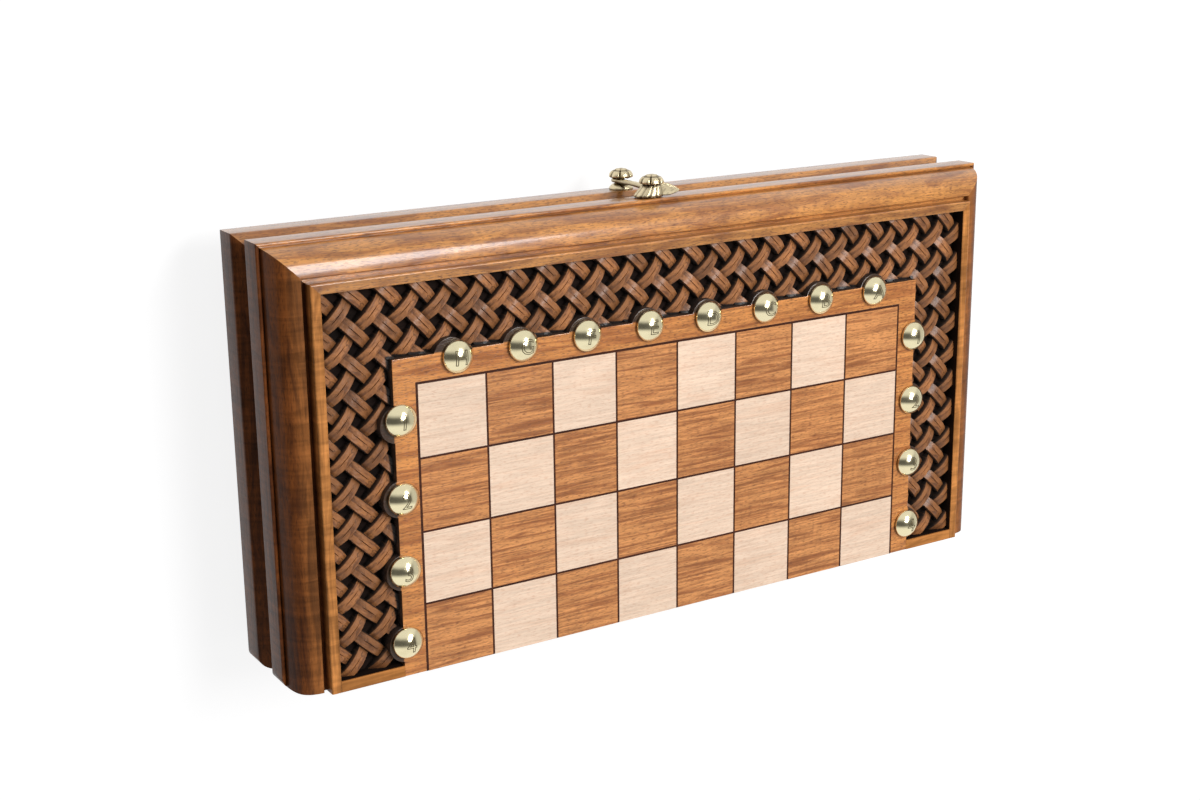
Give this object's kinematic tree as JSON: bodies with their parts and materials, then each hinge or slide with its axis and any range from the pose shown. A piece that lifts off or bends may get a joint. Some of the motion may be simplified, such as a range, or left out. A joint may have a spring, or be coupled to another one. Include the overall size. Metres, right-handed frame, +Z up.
{
  "type": "chess and backgammon set",
  "caption": "Folding wooden games case: carved chess board outside, backgammon board and draughtsmen inside, butt hinges and a hook latch.",
  "frame": {"origin": "on the table, under the middle of the whole closed case, which lies flat on the studs of its lower half", "axes": "+X along the hinge, +Y from the hinge side to the latch side, +Z up through the carved face of the lid"},
  "size_m": [0.5026, 0.2676, 0.1066],
  "materials": {
    "walnut": "clear varnish over an orange-brown stain",
    "dark_walnut": "dark stain in the carved ground",
    "carved_wood": "carved and stained, varnished crests",
    "beech": "pale veneer, satin",
    "dark_veneer": "streaked brown veneer, satin",
    "black_line": "dyed line",
    "brass": "pale polished brass",
    "latch_brass": "cast brass, darker in the hollows",
    "board_veneer": "satin",
    "light_point": "pale veneer",
    "dark_point": "dark veneer",
    "light_piece": "turned and waxed",
    "dark_piece": "turned, stained and waxed",
    "die": "satin"
  },
  "bodies": {
    "base": {"base_basket_weave": "carved_wood", "base_border_strip": "walnut", "base_brass_studs": "brass", "base_carved_panel": "dark_walnut", "base_dark_points": "dark_point", "base_dark_squares": "dark_veneer", "base_hinge_leaves": "brass", "base_hinge_rail": "walnut", "base_latch_rail": "walnut", "base_left_rail": "walnut", "base_light_points": "light_point", "base_light_squares": "beech", "base_line_inlay": "black_line", "base_playing_board": "board_veneer", "base_right_rail": "walnut", "catch_stud": "latch_brass", "dark_checkers": "dark_piece", "dice": "die", "hinge_pins": "brass", "light_checkers": "light_piece"},
    "lid": {"lid_basket_weave": "carved_wood", "lid_border_strip": "walnut", "lid_brass_studs": "brass", "lid_carved_panel": "dark_walnut", "lid_dark_points": "dark_point", "lid_dark_squares": "dark_veneer", "lid_hinge_leaves": "brass", "lid_hinge_rail": "walnut", "lid_latch_rail": "walnut", "lid_left_rail": "walnut", "lid_light_points": "light_point", "lid_light_squares": "beech", "lid_line_inlay": "black_line", "lid_playing_board": "board_veneer", "lid_right_rail": "walnut", "pivot_stud": "latch_brass"},
    "hook": {"latch_hook": "latch_brass"}
  },
  "joints": [
    {"name": "lid_hinge", "type": "hinge", "parent": "base", "child": "lid", "pos_m": [0, -0.1321, 0.0533], "axis": [1, 0, 0], "range_deg": [0, 180]},
    {"name": "hook_swing", "type": "hinge", "parent": "lid", "child": "hook", "pos_m": [0.0004, 0.12035, 0.0717], "axis": [0, 1, 0], "range_deg": [0, 85]}
  ]
}
